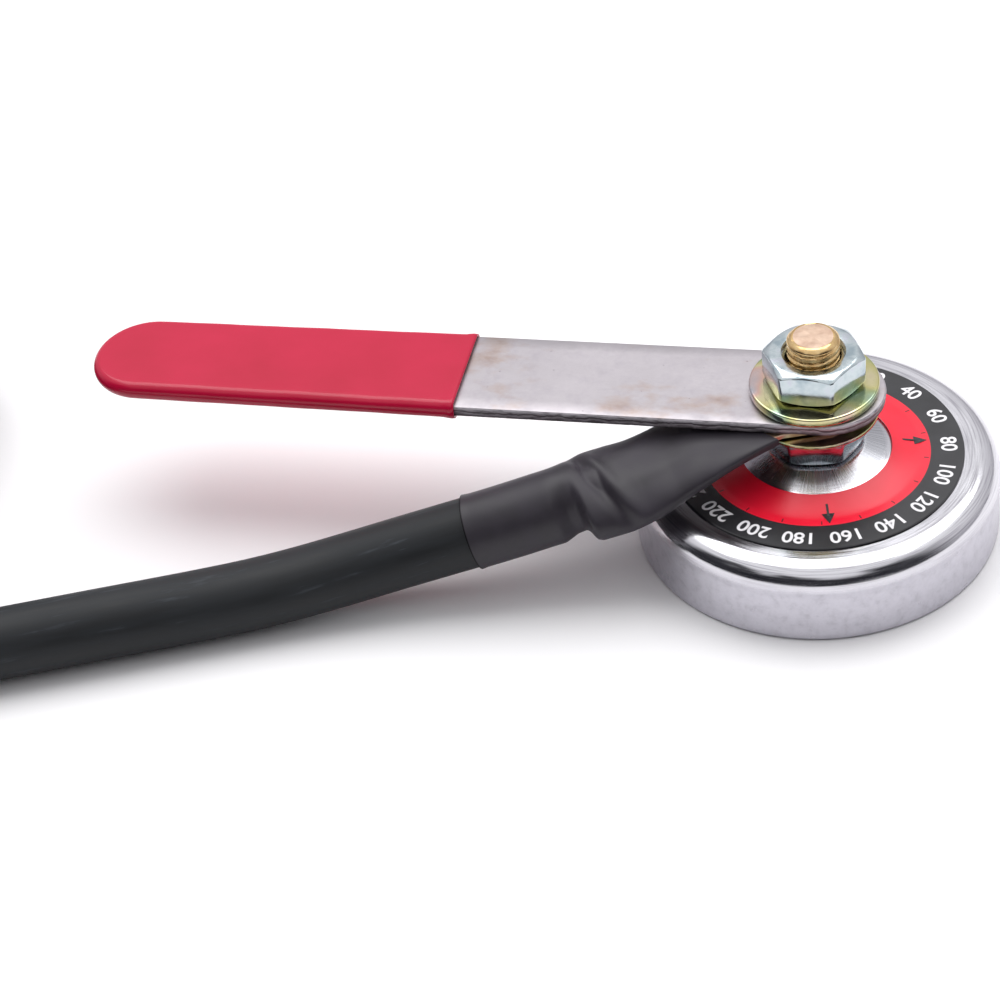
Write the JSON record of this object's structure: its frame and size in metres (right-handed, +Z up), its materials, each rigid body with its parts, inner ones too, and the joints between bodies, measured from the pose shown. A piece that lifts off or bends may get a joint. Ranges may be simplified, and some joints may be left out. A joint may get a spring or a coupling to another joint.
{
  "type": "magnetic ground clamp",
  "caption": "Magnetic welding ground clamp: plated magnet cup with brass contact stud, swivelling lever with dipped grip, cable lug under a lock nut, coiled lead with bayonet plug.",
  "frame": {"origin": "centre of the brass contact's face, level with the rim of the magnet cup, where the clamp meets the work", "axes": "+Z up along the stud, away from the work; the lever's grip lies along -X, so +X points away from it; +Y to the back of the picture"},
  "size_m": [0.4405, 0.1877, 0.0439],
  "materials": {
    "plated_cup": "bright nickel or zinc plate over drawn steel, satin on the side wall",
    "label_film": "printed polyester film, red inside and black outside",
    "ferrite": "sintered ferrite, matt dark grey",
    "potting_resin": "cast black epoxy",
    "contact_brass": "turned brass with a sawn, peened top",
    "nut_zinc": "bright blue zinc plate",
    "washer_chromate": "yellow chromated zinc plate",
    "strip_steel": "cold rolled steel strip with sheared edges",
    "grip_vinyl": "dipped red vinyl, satin",
    "tinned_copper": "tinned copper, satin",
    "copper_strand": "bare copper strands",
    "shrink_sleeve": "black polyolefin shrink tube, satin",
    "cable_rubber": "smooth black rubber sheath",
    "tie_strap": "black woven hook and loop strap",
    "boot_rubber": "moulded black rubber",
    "plug_brass": "turned brass",
    "screw_steel": "black steel socket screw"
  },
  "bodies": {
    "magnet_base": {"magnet_cup": "plated_cup", "face_label": "label_film", "ferrite_ring": "ferrite", "potting_ring": "potting_resin", "centre_bush": "potting_resin", "contact_stud": "contact_brass", "lower_nut": "nut_zinc", "lower_washer": "washer_chromate"},
    "lever": {"lever_strip": "strip_steel", "lever_grip": "grip_vinyl"},
    "lead": {"cable_lug": "tinned_copper", "lug_cable_core": "copper_strand", "heat_shrink_sleeve": "shrink_sleeve", "cable_run": "cable_rubber", "cable_coil": "cable_rubber", "coil_tie_1": "tie_strap", "coil_tie_2": "tie_strap", "coil_tie_3": "tie_strap", "cable_tail": "cable_rubber", "plug_boot": "boot_rubber", "plug_body": "plug_brass", "plug_cable_core": "copper_strand", "plug_set_screw_1": "screw_steel", "plug_set_screw_2": "screw_steel"},
    "clamp_washer": {"upper_washer": "washer_chromate"},
    "clamp_nut": {"upper_nut": "nut_zinc"}
  },
  "joints": [
    {"name": "lever_swivel", "type": "hinge", "parent": "magnet_base", "child": "lever", "pos_m": [0, 0, 0.0303], "axis": [0, 0, 1], "continuous": true},
    {"name": "lead_swivel", "type": "hinge", "parent": "magnet_base", "child": "lead", "pos_m": [0, 0, 0.0281], "axis": [0, 0, 1], "range_deg": [-90, 90]},
    {"name": "nut_turn", "type": "hinge", "parent": "magnet_base", "child": "clamp_washer", "pos_m": [0, 0, 0.0325], "axis": [0, 0, 1], "range_deg": [0, 720]},
    {"name": "nut_travel", "type": "slide", "parent": "clamp_washer", "child": "clamp_nut", "axis": [0, 0, 1], "range_m": [0, 0.003]}
  ],
  "couplings": [
    {"joint": "nut_travel", "follows": "nut_turn", "m_per_rad": 0.00023873}
  ]
}
